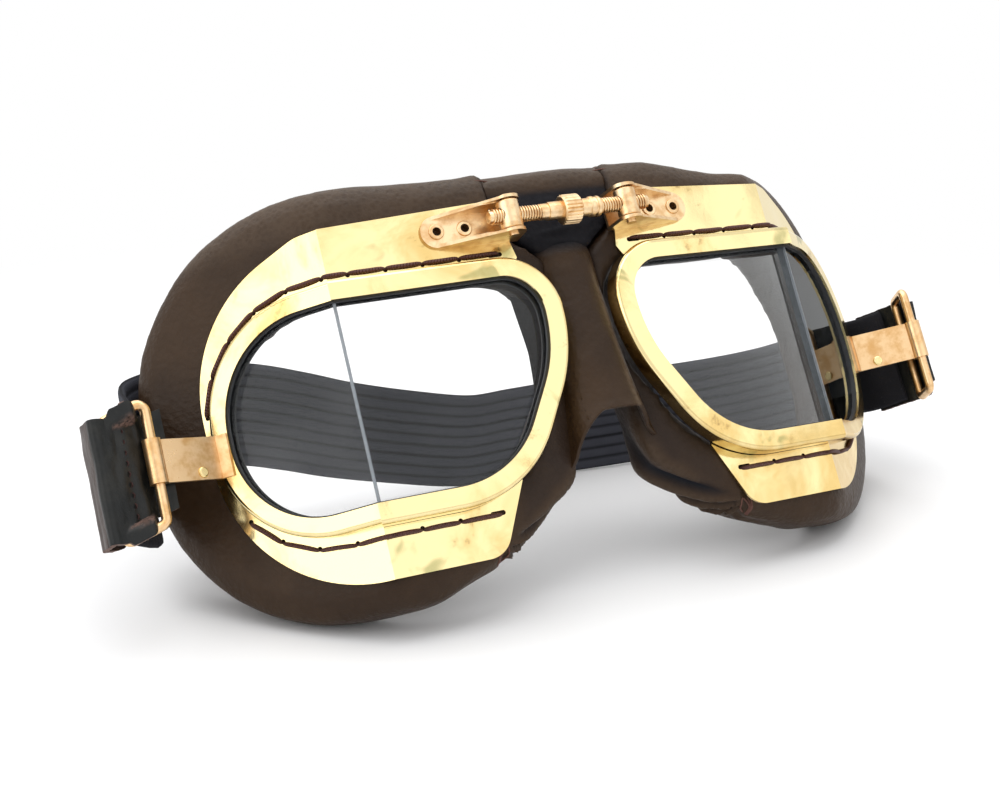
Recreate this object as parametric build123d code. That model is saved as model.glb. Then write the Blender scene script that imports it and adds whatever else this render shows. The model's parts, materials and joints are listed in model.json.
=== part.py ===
from build123d import *
from math import asin, cos, degrees, radians, sin, tan
import os

# Split-lens flying goggles. Two pressed brass eye frames, each with a front and a side pane,
# hang from a screw adjuster over the nose. Padded leather lines them, and an elastic strap
# runs round the back from a wire loop at each temple.
#
# All sizes are millimetres and degrees. The goggles are drawn upright, as they are worn:
# X to the right, Y from the lenses back to the face, Z up, with the adjuster's axis along X.
# At the end they lean back on their leather and stand on the table at Z = 0.

# How the goggles stand and how the eye frames turn round the face
lean_angle = 32.3
wrap_angle = 3.4
bend_angle = 36.0
table_flat = 0.5
running_gap = 0.05
seat_gap = 0.1
soft_gap = 0.35
overrun = 1.0
far = 400.0

# Screw adjuster
pin_offset = 15.0
screw_diameter = 3.6
screw_end = 20.3
screw_seat_depth = 4.0
screw_chamfer = 0.4
sleeve_length = 15.4
sleeve_diameter = 4.2
sleeve_band_length = 2.0
sleeve_band_diameter = 3.7
wheel_diameter = 6.8
wheel_width = 4.5
wheel_bevel = 0.45
knurl_count = 24
knurl_depth = 0.35
collar_length = 3.0
collar_diameter = 4.8
collar_round = 0.6
collar_groove = 0.35
sleeve_wall_share = 0.2

# Trunnion nut and its pins
trunnion_diameter = 5.2
trunnion_height = 6.6
trunnion_round = 0.4
pin_diameter = 2.2
pin_proud = 0.5

# Pressed nose bracket and its two eyelets
bracket_sheet = 0.8
bracket_mouth = 8.6
bracket_tip = 7.4
bracket_length = 19.6
ear_radius = 2.9
ear_foot_x = 16.6
bracket_fold = 0.7
eyelet_near_x = 9.2
eyelet_pitch = 6.7
eyelet_flange = 3.6
eyelet_barrel = 2.8
eyelet_bore = 2.0
eyelet_rim = 0.4
eyelet_round_share = 0.7

# Lens opening, laid flat: distances from the trunnion pin, and the line where it bends
opening_nose = 3.45
opening_temple = 73.4
opening_top = 13.2
opening_bottom = 57.6
slope_start = 31.2
slope_foot = 12.3
# How much of the nose side or the temple side each corner's rounding takes
brow_cut_share = 0.489
slope_cut_share = 0.489
foot_cut_share = 0.294
temple_top_cut_share = 0.484
temple_bottom_cut_share = 0.462
bend_x = 43.9
bend_y = 1.9

# Brass sheet: the flange, the rail and collar that hold the lens, and the loose rim cover
sheet = 0.6
flange_y = 6.0
collar_y = 1.4
collar_width = 4.1
collar_shoulder = 1.0
rail_width = 3.9
flange_lip = 1.0
cover_y = 0.9
cover_width = 4.55
cover_shoulder = 1.15
cover_skirt_gap = 0.5
cover_lip_depth = 0.7

# Flange outline, laid flat; a cut is how much of each side a corner's rounding takes
flange_top_inner = 6.0
flange_inner_x = 1.2
flange_ear_x = -1.8
flange_ear_z = -8.0
flange_knee_share = 0.634
flange_knee_z = 4.0
flange_beyond = 7.0
flange_shoulder_z = -7.0
flange_below = 15.7
flange_toe_x = 17.2
flange_heel_x = 9.7
flange_heel_z = -57.9
flange_corner_cut = 1.7
flange_knee_cut = 1.6
flange_shoulder_cut_share = 0.335
flange_bottom_cut_share = 0.528
flange_toe_cut = 3.75

# Lacing holes round the lens
lace_hole = 1.1
lace_line = 6.4
lace_pitch = 8.5
lace_slot = 2.4
lace_start_x = 3.3
lace_end_x = 17.0
lace_gap_half = 9.5

# Glass and its rubber channel
glass_thickness = 2.2
glass_edge = 1.6
glass_y = 3.1
gasket_y = 2.1
gasket_outer = 3.2
gasket_inner = 0.35

# Temple bracket, wire loop and leather tab
temple_z = -38.8
temple_strip = 0.9
temple_strip_height = 9.3
temple_foot_width = 3.6
barrel_x = 83.7
barrel_y = -13.3
barrel_diameter = 3.9
barrel_length = 9.5
rivet_diameter = 1.4
rivet_head = 2.4
rivet_head_height = 0.5
rivet_share = 0.3
rivet_edge = 0.4
rivet_dome_share = 0.8
wire_diameter = 2.2
loop_height = 26.0
loop_width = 9.2
loop_corner = 1.6
tab_end_gap = 1.2
tab_sheet = 1.5
tab_reach = 13.0
tab_tuck_gap = 0.5
# How each loop lies: its swing back from sideways, the droop of its outer bar and the tab's turn.
# The tab's free end runs back inside the loop, on the left past the inner bar.
left_loop_swing_angle = 4.0
left_loop_droop = 3.0
left_tab_turn_angle = 50.0
left_tab_front_share = 1.52
right_loop_swing_angle = 68.0
right_loop_droop = 0.6
right_tab_turn_angle = 66.0
right_tab_front_angle = 180.0
right_tab_front_share = 0.71

# Padded leather behind each frame; the right one has slumped lower at its shoulder
pad_back = 21.5
pad_top = 13.5
pad_shoulder_left = 14.3
pad_shoulder_right = 9.0
pad_shoulder_start = 14.0
pad_shoulder_end = 33.0
pad_shoulder_cut = 2.3
pad_beyond = 17.1
pad_below = 6.2
pad_belly_x = 33.0
pad_belly_cut = 3.4
pad_seam_x = 0.9
pad_seam_low = -1.0
pad_nose_x = -8.6
pad_nose_high = -9.0
pad_nose_low = -28.0
pad_hem_x = -3.6
pad_hem_rise = 20.5
pad_hem_cut = 1.6
pad_toe_x = 16.0
pad_toe_rise = 6.0
pad_toe_cut = 0.9
pad_top_cut_share = 0.486
pad_bottom_cut_share = 0.497
pad_front_round = 5.5
pad_back_round = 5.0
pad_mouth_grow = 4.0
pad_mouth_flare = 6.0
pad_bend_half = 3.0

# Leather over the nose
brow_top = 15.3
brow_back = 20.5
brow_front = 7.2
brow_round = 5.0
brow_web_gap = 1.6
brow_web_half = 3.9
saddle_sheet = 1.8
saddle_back = 19.5
saddle_top_z = -9.3
saddle_waist_z = -28.0
saddle_hem_z = -57.0
saddle_top_half = 5.6
saddle_waist_half = 6.0
saddle_hem_half = 9.8
saddle_top_back = 4.7
saddle_waist_back = 4.7
saddle_hem_back = 9.4
saddle_top_crest = 5.2
saddle_waist_crest = 3.0
saddle_hem_crest = 1.6
saddle_roof_depth = 3.4
saddle_arch_rise = 10.5
saddle_arch_half = 7.2

# Elastic strap
strap_width = 25.0
strap_thickness = 1.7
strap_back_y = 43.0
strap_wing_x = 93.5
strap_rise = 19.5
strap_start = 4.6
strap_rest_half = 7.0
# Stations from the middle of the back out to each wing: across, back, rise, lean
left_strap_shares = [
    (0.26, 0.995, 0.20, 0.0),
    (0.44, 0.985, 0.45, 0.05),
    (0.57, 0.975, 0.67, 0.1),
    (0.70, 0.955, 0.87, 0.2),
    (0.84, 0.91, 1.0, 0.35),
    (0.96, 0.80, 1.03, 0.5),
    (1.03, 0.62, 1.0, 0.75),
]
right_strap_shares = [
    (0.27, 0.965, 0.0, 0.35),
    (0.52, 0.945, 0.0, 0.5),
    (0.72, 0.94, 0.0, 0.5),
    (0.87, 0.93, 0.03, 0.5),
    (0.965, 0.85, 0.15, 0.55),
    (1.03, 0.62, 0.45, 0.75),
]


def sheet_plan(face, front, back):
    """A flat face, drawn as seen from the front, made solid between two depths."""
    return extrude(Plane.XZ.offset(-back) * face, back - front)


def filleted_face(corners):
    """A closed face from (x, z, cut) corners; the cut is the length that rounding takes off each side."""
    face = make_face(Polyline(*[(x, z) for x, z, _ in corners], close=True))
    places = [Vector(x, z) for x, z, _ in corners]
    for index, (x, z, cut) in enumerate(corners):
        if cut:
            before = places[index - 1] - places[index]
            after = places[(index + 1) % len(places)] - places[index]
            corner = face.vertices().sort_by_distance((x, z, 0))[0]
            face = fillet(corner, cut * tan(radians(before.get_angle(after)) / 2))
    return face


nose_side = slope_start - opening_top
temple_side = opening_bottom - opening_top
opening_face = filleted_face([
    (-opening_nose, -opening_top, brow_cut_share * nose_side),
    (opening_temple, -opening_top, temple_top_cut_share * temple_side),
    (opening_temple, -opening_bottom, temple_bottom_cut_share * temple_side),
    (slope_foot, -opening_bottom, foot_cut_share * temple_side),
    (-opening_nose, -slope_start, slope_cut_share * nose_side),
])
flange_temple = opening_temple + flange_beyond
flange_bottom = -opening_bottom - flange_below
pad_temple = flange_temple + pad_beyond
pad_bottom = flange_bottom - pad_below


def opening(grow):
    """The lens opening's face, grown outwards by a rim's width."""
    return offset(opening_face, grow) if grow else opening_face


def bend_space(side):
    """The space on the nose side (-1) or the temple side (+1) of the mitre at the bend."""
    block = Box(far, far, far, align=(Align.MAX if side < 0 else Align.MIN, Align.CENTER, Align.CENTER))
    return Pos(bend_x, bend_y, 0) * Rot(0, 0, bend_angle / 2) * block


# Turns a flat-laid piece back round the bend, into the side pane's plane
side_turn = Pos(bend_x, bend_y, 0) * Rot(0, 0, bend_angle) * Pos(-bend_x, -bend_y, 0)


def front_half(flat):
    return flat & bend_space(-1)


def side_half(flat):
    return side_turn * flat & bend_space(1)


def bent_softly(flat, front):
    """Bend a thick roll in two equal steps, a little either side of the plate's own bend."""
    inset = (front - bend_y) * tan(radians(bend_angle / 2))
    first = Pos(bend_x - inset - pad_bend_half, front, 0)
    second = side_turn * Pos(bend_x + inset + pad_bend_half, front, 0)
    middle = first * Rot(0, 0, bend_angle / 2) * Pos(*-first.position) * flat
    quarter = bend_angle / 2 / 2
    reach = Box(far, far, far, align=(Align.MIN, Align.CENTER, Align.CENTER))
    after_first = first * Rot(0, 0, quarter) * reach
    after_second = second * Rot(0, 0, -quarter) * reach
    return (flat - after_first) + ((middle & after_first) - after_second) + (side_turn * flat & after_second)


def flange_face():
    side = flange_shoulder_z - flange_bottom
    outline = filleted_face([
        (flange_ear_x, flange_ear_z, 0),
        (flange_inner_x, flange_top_inner, flange_corner_cut),
        (flange_knee_share * flange_temple, flange_knee_z, flange_knee_cut),
        (flange_temple, flange_shoulder_z, flange_shoulder_cut_share * side),
        (flange_temple, flange_bottom, flange_bottom_cut_share * side),
        (flange_toe_x, flange_bottom, flange_toe_cut),
        (flange_heel_x, flange_heel_z, 0),
        (slope_foot, -slope_start, 0),
    ])
    return outline + opening(rail_width) - opening(flange_lip)


def base_plate():
    flange = sheet_plan(flange_face(), flange_y, flange_y + sheet)
    rail = sheet_plan(opening(rail_width) - opening(rail_width - sheet), cover_y + sheet + seat_gap, flange_y)
    cap = sheet_plan(opening(collar_width), collar_y, flange_y)
    cap = fillet(cap.faces().sort_by(Axis.Y)[0].edges(), collar_shoulder)
    hollow = sheet_plan(opening(collar_width - sheet), collar_y + sheet, flange_y)
    collar = cap - hollow - sheet_plan(opening_face, collar_y - overrun, flange_y)
    return front_half(flange + rail) + side_half(flange + collar)


def rim_cover():
    skirt_y = flange_y - cover_skirt_gap
    cap = sheet_plan(opening(cover_width), cover_y, skirt_y)
    cap = fillet(cap.faces().sort_by(Axis.Y)[0].edges(), cover_shoulder)
    hollow = sheet_plan(opening(rail_width + running_gap), cover_y + sheet, skirt_y)
    cover = cap - hollow - sheet_plan(opening_face, cover_y - overrun, skirt_y)
    lip_back = cover_y + sheet + cover_lip_depth - seat_gap
    lip = sheet_plan(opening(sheet) - opening_face, cover_y + sheet, lip_back)
    return front_half(cover + lip)


def lens_flat():
    return sheet_plan(opening(glass_edge), glass_y, glass_y + glass_thickness)


def lens_gasket():
    ring = opening(gasket_outer) - opening(-gasket_inner)
    body = sheet_plan(ring, gasket_y, flange_y - running_gap)
    groove = sheet_plan(opening(glass_edge + running_gap), glass_y - running_gap,
                        glass_y + glass_thickness + running_gap)
    channel = body - groove
    return front_half(channel) + side_half(channel)


def mask_pad(shoulder):
    side = pad_shoulder_right - pad_bottom
    outline = filleted_face([
        (pad_seam_x, pad_top, 0),
        (pad_shoulder_start, pad_top, pad_shoulder_cut),
        (pad_shoulder_end, shoulder, pad_shoulder_cut),
        (pad_temple, shoulder, pad_top_cut_share * side),
        (pad_temple, pad_bottom, pad_bottom_cut_share * side),
        (pad_belly_x, pad_bottom, pad_belly_cut),
        (pad_toe_x, pad_bottom + pad_toe_rise, pad_toe_cut),
        (pad_hem_x, pad_bottom + pad_hem_rise, pad_hem_cut),
        (pad_nose_x, pad_nose_low, 0),
        (pad_nose_x, pad_nose_high, 0),
        (pad_seam_x, pad_seam_low, 0),
    ])

    def outer(edge):
        return edge.center().Z > shoulder - overrun or edge.center().X > pad_toe_x

    front = flange_y + sheet + seat_gap
    block = sheet_plan(outline, front, pad_back)
    block = fillet(block.faces().sort_by(Axis.Y)[0].edges().filter_by(outer), pad_front_round)
    block = fillet(block.faces().sort_by(Axis.Y)[-1].edges().filter_by(outer), pad_back_round)
    mouth_face = opening(pad_mouth_grow)
    mouth = sheet_plan(mouth_face, front - overrun, pad_back + overrun)
    flare = loft([Plane.XZ.offset(-front) * mouth_face,
                  Plane.XZ.offset(-pad_back - overrun) * Pos(pad_mouth_flare, 0) * mouth_face], ruled=True)
    return bent_softly(block - mouth - flare, front)


def lace_holes():
    """Holes and end slots for the lacing, along a line just outside the rim."""
    path = FilletPolyline(
        (lace_start_x, lace_line - opening_top),
        (opening_temple + lace_line, lace_line - opening_top),
        (opening_temple + lace_line, -opening_bottom - lace_line),
        (lace_end_x, -opening_bottom - lace_line),
        radius=[share * temple_side + lace_line for share in (temple_top_cut_share, temple_bottom_cut_share)])
    count = round(path.length / lace_pitch)
    places = [path.position_at(index / count) for index in range(count + 1)]
    kept = [place for place in places if abs(place.Y - temple_z) > lace_gap_half]
    face = Sketch() + [Pos(place.X, place.Y) * Circle(lace_hole / 2) for place in kept[1:-1]]
    face += [Pos(place.X, place.Y) * SlotCenterToCenter(lace_slot, lace_hole) for place in (kept[0], kept[-1])]
    return sheet_plan(face, flange_y - overrun, flange_y + sheet + overrun)


def lace_and_rivet_holes():
    """Everything that is pierced through the flange."""
    barrels = Sketch() + [Pos(place, 0) * Circle(eyelet_barrel / 2) for place in eyelet_places()]
    pierced = lace_holes() + sheet_plan(barrels, flange_y - overrun, flange_y + sheet + overrun)
    return front_half(pierced) + side_half(pierced)


def eyelet_places():
    return [eyelet_near_x, eyelet_near_x + eyelet_pitch]


def nose_bracket():
    """A channel pressed from sheet: floor on the flange, ears reaching forward to the pins."""
    floor_front = flange_y - bracket_sheet
    tip_x = bracket_length - bracket_tip / 2
    tip = Pos(tip_x, 0) * Circle(bracket_tip / 2)
    mouth = make_face(Polyline((-ear_radius, bracket_mouth / 2), (tip_x, bracket_tip / 2),
                               (tip_x, -bracket_tip / 2), (-ear_radius, -bracket_mouth / 2), close=True))
    plan = mouth + tip
    ear = make_face(Polyline((-ear_radius, floor_front), (-ear_radius, 0), (0, -ear_radius),
                             (ear_radius, -ear_radius / 2), (ear_foot_x, floor_front), close=True))
    ear = ear + Circle(ear_radius)
    side_view = extrude(ear, bracket_mouth, both=True)
    block = sheet_plan(plan, -ear_radius - overrun, flange_y) & (
        side_view + sheet_plan(plan, floor_front, flange_y))
    well = sheet_plan(offset(plan, -bracket_sheet), -ear_radius - overrun, floor_front)
    gap = sheet_plan(Rectangle(far, bracket_mouth - 2 * bracket_sheet), -ear_radius - overrun, 0)
    open_end = Pos(-far / 2, -far / 2 + floor_front, 0) * Box(far, far, bracket_mouth - 2 * bracket_sheet)
    bracket = block - well - gap - open_end
    bracket -= Cylinder(pin_diameter / 2 + running_gap, far)
    for place in eyelet_places():
        bracket -= Pos(place, flange_y, 0) * Rot(90, 0, 0) * Cylinder(eyelet_barrel / 2, bracket_mouth)
    return bracket


def eyelet(place):
    """A tubular rivet: barrel through bracket and flange, a rolled rim on each face."""
    front = flange_y - bracket_sheet
    back = flange_y + sheet
    lie = Rot(90, 0, 0)
    tube = Pos(place, (front + back) / 2, 0) * lie * Cylinder(eyelet_barrel / 2 - running_gap, back - front)
    rim = Pos(place, front - eyelet_rim / 2, 0) * lie * Cylinder(eyelet_flange / 2, eyelet_rim)
    rim = fillet(rim.edges().sort_by(Axis.Y)[0], eyelet_rim * eyelet_round_share)
    clench = Pos(place, back + running_gap / 2, 0) * lie * Cylinder(eyelet_flange / 2, running_gap)
    bore = Pos(place, front, 0) * lie * Cylinder(eyelet_bore / 2, far)
    return tube + rim + clench - bore


def trunnion():
    """The cross nut: an upright barrel with pins above and below, threaded along X."""
    body = Cylinder(trunnion_diameter / 2, trunnion_height)
    body = fillet(body.edges().filter_by(GeomType.CIRCLE), trunnion_round)
    pins = Cylinder(pin_diameter / 2, bracket_mouth + 2 * pin_proud)
    bore = Rot(0, 90, 0) * Cylinder(screw_diameter / 2 + running_gap, far)
    return body + pins - bore


strip_start = Vector(opening_temple + collar_width - collar_shoulder, collar_y - temple_strip / 2)
strip_run = Vector(barrel_x, barrel_y) - strip_start
strip_angle = Vector(1, 0).get_signed_angle(strip_run, Vector(0, 0, 1))
strip_place = Pos(strip_start.X, strip_start.Y, temple_z) * Rot(0, 0, strip_angle)


def rivet_hole():
    drop = temple_strip_height / 2 - rivet_head / 2 - rivet_edge
    return strip_place * Pos(strip_run.length * rivet_share, 0, -drop) * Rot(90, 0, 0)


def temple_bracket():
    """A brass strip with a foot on the rim's face and its outer end rolled into a barrel."""
    foot = Pos(strip_start.X - temple_foot_width / 2 + sheet, collar_y - sheet / 2, temple_z) * Box(
        temple_foot_width, sheet, temple_strip_height)
    strip = strip_place * Pos(strip_run.length / 2, 0, 0) * Box(
        strip_run.length, temple_strip, temple_strip_height)
    axis = Pos(barrel_x, barrel_y, temple_z)
    barrel = axis * Cylinder(barrel_diameter / 2, barrel_length)
    bore = axis * Cylinder(wire_diameter / 2 + running_gap, far)
    hole = rivet_hole() * Cylinder(rivet_diameter / 2 + running_gap, far)
    return foot + strip + barrel - bore - hole


def temple_rivet():
    """A small domed rivet through the strip."""
    shank = Cylinder(rivet_diameter / 2, temple_strip)
    head = Pos(0, 0, temple_strip / 2 + rivet_head_height / 2) * Cylinder(rivet_head / 2, rivet_head_height)
    head = fillet(head.edges().sort_by(Axis.Z)[-1], rivet_head_height * rivet_dome_share)
    tail = Pos(0, 0, -temple_strip / 2 - rivet_head_height / 2) * Cylinder(rivet_head / 2, rivet_head_height)
    return rivet_hole() * (shank + head + tail)


# Places of the moving frames, on the right-hand side; the left is their mirror image
eye_place = Pos(pin_offset, 0, 0) * Rot(0, 0, wrap_angle)
barrel_centre = (eye_place * side_turn * Pos(barrel_x, barrel_y, temple_z)).position


def loop_place(swing):
    return Pos(*barrel_centre) * Rot(0, 0, swing)


def wire_loop(swing, droop, _):
    """A loop of round wire: one bar turns in the barrel, the other carries the tab."""
    top = loop_height / 2
    path = FilletPolyline((0, 0, top), (loop_width, 0, top - droop), (loop_width, 0, -top - droop),
                          (0, 0, -top), close=True, radius=loop_corner)
    start = path.edges().sort_by(Axis.X)[0]
    section = Plane(origin=start @ 0, z_dir=start % 0) * Circle(wire_diameter / 2)
    return loop_place(swing) * sweep(section, path=path)


def tab_place(swing, droop, turn):
    bar = (loop_place(swing) * Pos(loop_width, 0, -droop)).position
    return Pos(*bar) * Rot(0, 0, 180 - turn)


tab_height = loop_height - wire_diameter - 2 * tab_end_gap
tab_layer = wire_diameter / 2 + seat_gap + tab_sheet / 2
tab_tuck_drop = barrel_diameter / 2 + tab_tuck_gap + tab_sheet / 2 + tab_layer
left_tab_front_angle = 180 - degrees(asin(tab_tuck_drop / loop_width))


def leather_tab(lie, front_angle, front_share):
    """A leather strip from the strap's end round the outer bar, its free end back inside the loop."""
    swing, droop, _ = lie
    upright = (Align.MIN, Align.CENTER, Align.CENTER)
    wrap = Cylinder(tab_layer + tab_sheet / 2, tab_height) - Cylinder(tab_layer - tab_sheet / 2, far)
    back = Pos(0, -tab_layer, 0) * Box(tab_reach, tab_sheet, tab_height, align=upright)
    tilt = Vector(1, 0).get_signed_angle(Vector(loop_width, droop))
    front = loop_place(swing) * Pos(loop_width, 0, -droop) * Rot(0, 0, front_angle) * Rot(0, tilt, 0) * (
        Pos(0, tab_layer, 0) * Box(front_share * loop_width, tab_sheet, tab_height, align=upright))
    return tab_place(*lie) * (wrap + back) + front


def adjuster_sleeve():
    """The turned middle of the adjuster, bored at both ends for the screws."""
    half = sleeve_length / 2
    lie = Rot(0, 90, 0)
    body = lie * Cylinder(sleeve_diameter / 2, sleeve_length - sleeve_band_length)
    body = Pos(sleeve_band_length / 2, 0, 0) * body
    band = Pos(sleeve_band_length - half - sleeve_band_length / 2, 0, 0) * lie * Cylinder(
        sleeve_band_diameter / 2, sleeve_band_length)
    collar = Pos(half - collar_length / 2, 0, 0) * lie * Cylinder(collar_diameter / 2, collar_length)
    collar = fillet(collar.edges().filter_by(GeomType.CIRCLE), collar_round)
    groove = Pos(half - collar_length / 2, 0, 0) * lie * Torus(collar_diameter / 2, collar_groove)
    bores = [Pos(side * (half - screw_seat_depth / 2), 0, 0) * lie * Cylinder(
        screw_diameter / 2 - sleeve_wall_share * screw_diameter, screw_seat_depth) for side in (-1, 1)]
    return body + band + collar - groove - bores


def adjuster_screw():
    """One threaded end, on the right; its spigot sits in the sleeve."""
    half = sleeve_length / 2
    lie = Rot(0, 90, 0)
    rod = Pos((half + screw_end) / 2, 0, 0) * lie * Cylinder(screw_diameter / 2, screw_end - half)
    rod = chamfer(rod.edges().sort_by(Axis.X)[-1], screw_chamfer)
    spigot = Pos(half - screw_seat_depth / 2, 0, 0) * lie * Cylinder(
        screw_diameter / 2 - sleeve_wall_share * screw_diameter, screw_seat_depth)
    return rod + spigot


def thumbwheel():
    """The knurled wheel pressed on the sleeve."""
    lie = Rot(0, 90, 0)
    wheel = Cylinder(wheel_diameter / 2, wheel_width)
    wheel = chamfer(wheel.edges().filter_by(GeomType.CIRCLE), wheel_bevel)
    notch = Pos(wheel_diameter / 2, 0, 0) * Rot(0, 0, 45) * Box(knurl_depth, knurl_depth, far)
    wheel -= [Rot(0, 0, 360 * index / knurl_count) * notch for index in range(knurl_count)]
    return lie * (wheel - Cylinder(sleeve_diameter / 2, far))


def brow_leather():
    """The padded top edge between the two seams, with the web below it."""
    half = pin_offset + pad_seam_x
    outline = make_face(Polyline((-half, brow_top), (half, brow_top), (half, pad_seam_low + brow_web_gap),
                                 (brow_web_half, saddle_top_z + soft_gap),
                                 (-brow_web_half, saddle_top_z + soft_gap),
                                 (-half, pad_seam_low + brow_web_gap), close=True))
    block = sheet_plan(outline, brow_front, brow_back)
    top_edges = [edge for edge in block.edges().filter_by(Axis.X) if edge.center().Z > brow_top - overrun]
    block = fillet(top_edges, brow_round)
    beside = Box(far, far, far, align=(Align.MIN, Align.CENTER, Align.CENTER))
    pad_space = eye_place * Pos(pad_seam_x - soft_gap, 0, 0) * beside
    return block - pad_space - mirror(pad_space, about=Plane.YZ)


def saddle_section(z, half, back_half, crest, skin):
    """A level cut through the roof: a bowed front and two sides that run back to the face."""
    half, back_half, crest = half - skin, back_half - skin, crest + skin
    side_y = crest + saddle_roof_depth
    plan = make_face(Polyline((-half, side_y), (-back_half, saddle_back), (back_half, saddle_back),
                              (half, side_y)) + ThreePointArc((half, side_y), (0, crest), (-half, side_y)))
    return Pos(0, 0, z) * plan


def nose_saddle():
    """The leather roof over the nose, open below and behind, its hem cut in an arch."""
    stations = [(saddle_top_z, saddle_top_half, saddle_top_back, saddle_top_crest),
                (saddle_waist_z, saddle_waist_half, saddle_waist_back, saddle_waist_crest),
                (saddle_hem_z, saddle_hem_half, saddle_hem_back, saddle_hem_crest)]
    outer = loft([saddle_section(*station, 0) for station in stations], ruled=True)
    inner = loft([saddle_section(*station, saddle_sheet) for station in stations], ruled=True)
    foot = (saddle_arch_half, saddle_hem_z - overrun)
    other_foot = (-saddle_arch_half, saddle_hem_z - overrun)
    arch = make_face(ThreePointArc(other_foot, (0, saddle_hem_z + saddle_arch_rise), foot) + Line(foot, other_foot))
    return outer - inner - Pos(0, overrun, 0) * inner - sheet_plan(arch, -far, far)


left_loop_lie = (left_loop_swing_angle, left_loop_droop, left_tab_turn_angle)
right_loop_lie = (right_loop_swing_angle, right_loop_droop, right_tab_turn_angle)
seat_turn = Rot(-lean_angle, 0, 0)


def strap_section(centre, along, lean):
    up = Vector(0, sin(radians(lean)), cos(radians(lean)))
    along = along.normalized()
    up = (up - along * up.dot(along)).normalized()
    return Plane(origin=centre, x_dir=up, z_dir=along) * Rectangle(strap_width, strap_thickness)


def strap_half(side, floor, shares, loop_lie):
    """Centres and leans of one half of the strap, from the middle of the back to the tab."""
    low = floor + strap_width / 2
    stations = [(Vector(side * strap_rest_half, strap_back_y, low), 0.0)]
    for across, back, rise, lean in shares:
        centre = Vector(side * across * strap_wing_x, back * strap_back_y, low + rise * strap_rise)
        stations.append((centre, lean * lean_angle))
    for along in (tab_reach + soft_gap, strap_start):
        inside = (seat_turn * tab_place(*loop_lie) * Pos(along, 0, 0)).position
        stations.append((Vector(side * inside.X, inside.Y, inside.Z), lean_angle))
    return stations


def elastic_strap(floor):
    """One band from tab to tab, drawn as a loft through upright sections."""
    left = strap_half(-1, floor, left_strap_shares, left_loop_lie)
    right = strap_half(1, floor, right_strap_shares, right_loop_lie)
    route = left[::-1] + right
    sections = []
    for index, (centre, lean) in enumerate(route):
        before = max(index - 1, 0)
        after = min(index + 1, len(route) - 1)
        if index == 1:
            after = index
        if index == len(route) - 2:
            before = index
        sections.append(strap_section(centre, route[after][0] - route[before][0], lean))
    return loft(sections, ruled=True)


def both_sides(name, make):
    """A piece and its mirror image."""
    right = make()
    return {name + "_left": mirror(right, about=Plane.YZ), name + "_right": right}


nodes = {}
nodes["adjuster_sleeve"] = adjuster_sleeve()
nodes["thumbwheel"] = thumbwheel()
nodes.update(both_sides("adjuster_screw", adjuster_screw))
nodes.update(both_sides("trunnion", lambda: Pos(pin_offset, 0, 0) * trunnion()))
nodes.update(both_sides("base_plate", lambda: eye_place * (base_plate() - lace_and_rivet_holes())))
nodes.update(both_sides("rim_cover", lambda: eye_place * rim_cover()))
nodes.update(both_sides("lens_front", lambda: eye_place * front_half(lens_flat())))
nodes.update(both_sides("lens_side", lambda: eye_place * side_half(lens_flat())))
nodes.update(both_sides("lens_gasket", lambda: eye_place * lens_gasket()))
nodes.update(both_sides("nose_bracket", lambda: eye_place * nose_bracket()))
nodes.update(both_sides("bracket_eyelets", lambda: eye_place * (
    Part() + [eyelet(place) for place in eyelet_places()])))
nodes.update(both_sides("temple_bracket", lambda: eye_place * side_turn * temple_bracket()))
nodes.update(both_sides("temple_rivet", lambda: eye_place * side_turn * temple_rivet()))
nodes["mask_pad_left"] = mirror(eye_place * mask_pad(pad_shoulder_left), about=Plane.YZ)
nodes["mask_pad_right"] = eye_place * mask_pad(pad_shoulder_right)
nodes["wire_loop_left"] = mirror(wire_loop(*left_loop_lie), about=Plane.YZ)
nodes["wire_loop_right"] = wire_loop(*right_loop_lie)
nodes["leather_tab_left"] = mirror(leather_tab(
    left_loop_lie, left_tab_front_angle, left_tab_front_share), about=Plane.YZ)
nodes["leather_tab_right"] = leather_tab(right_loop_lie, right_tab_front_angle, right_tab_front_share)
nodes["brow_leather"] = brow_leather()
nodes["nose_saddle"] = nose_saddle()

# Lean the goggles back, flatten the leather where it rests, and add the strap
nodes = {name: seat_turn * shape for name, shape in nodes.items()}
floor = min(nodes["mask_pad_" + side].bounding_box().min.Z for side in ("left", "right")) + table_flat
table = Pos(0, 0, floor) * Box(far, far, far, align=(Align.CENTER, Align.CENTER, Align.MAX))
for side in ("left", "right"):
    nodes["mask_pad_" + side] -= table
nodes["elastic_strap"] = elastic_strap(floor)

# Stand the whole on Z = 0 with the origin under the middle of its box
box = Compound(list(nodes.values())).bounding_box()
stand = Pos(-box.center().X, -box.center().Y, -floor)
os.makedirs("parts", exist_ok=True)
for name, shape in nodes.items():
    export_step(stand * shape, os.path.join("parts", name + ".step"))
print("moved by", stand.position, "size", box.size)
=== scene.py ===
import json
import math

import bpy
import numpy as np
from mathutils import Matrix, Vector, noise


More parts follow.
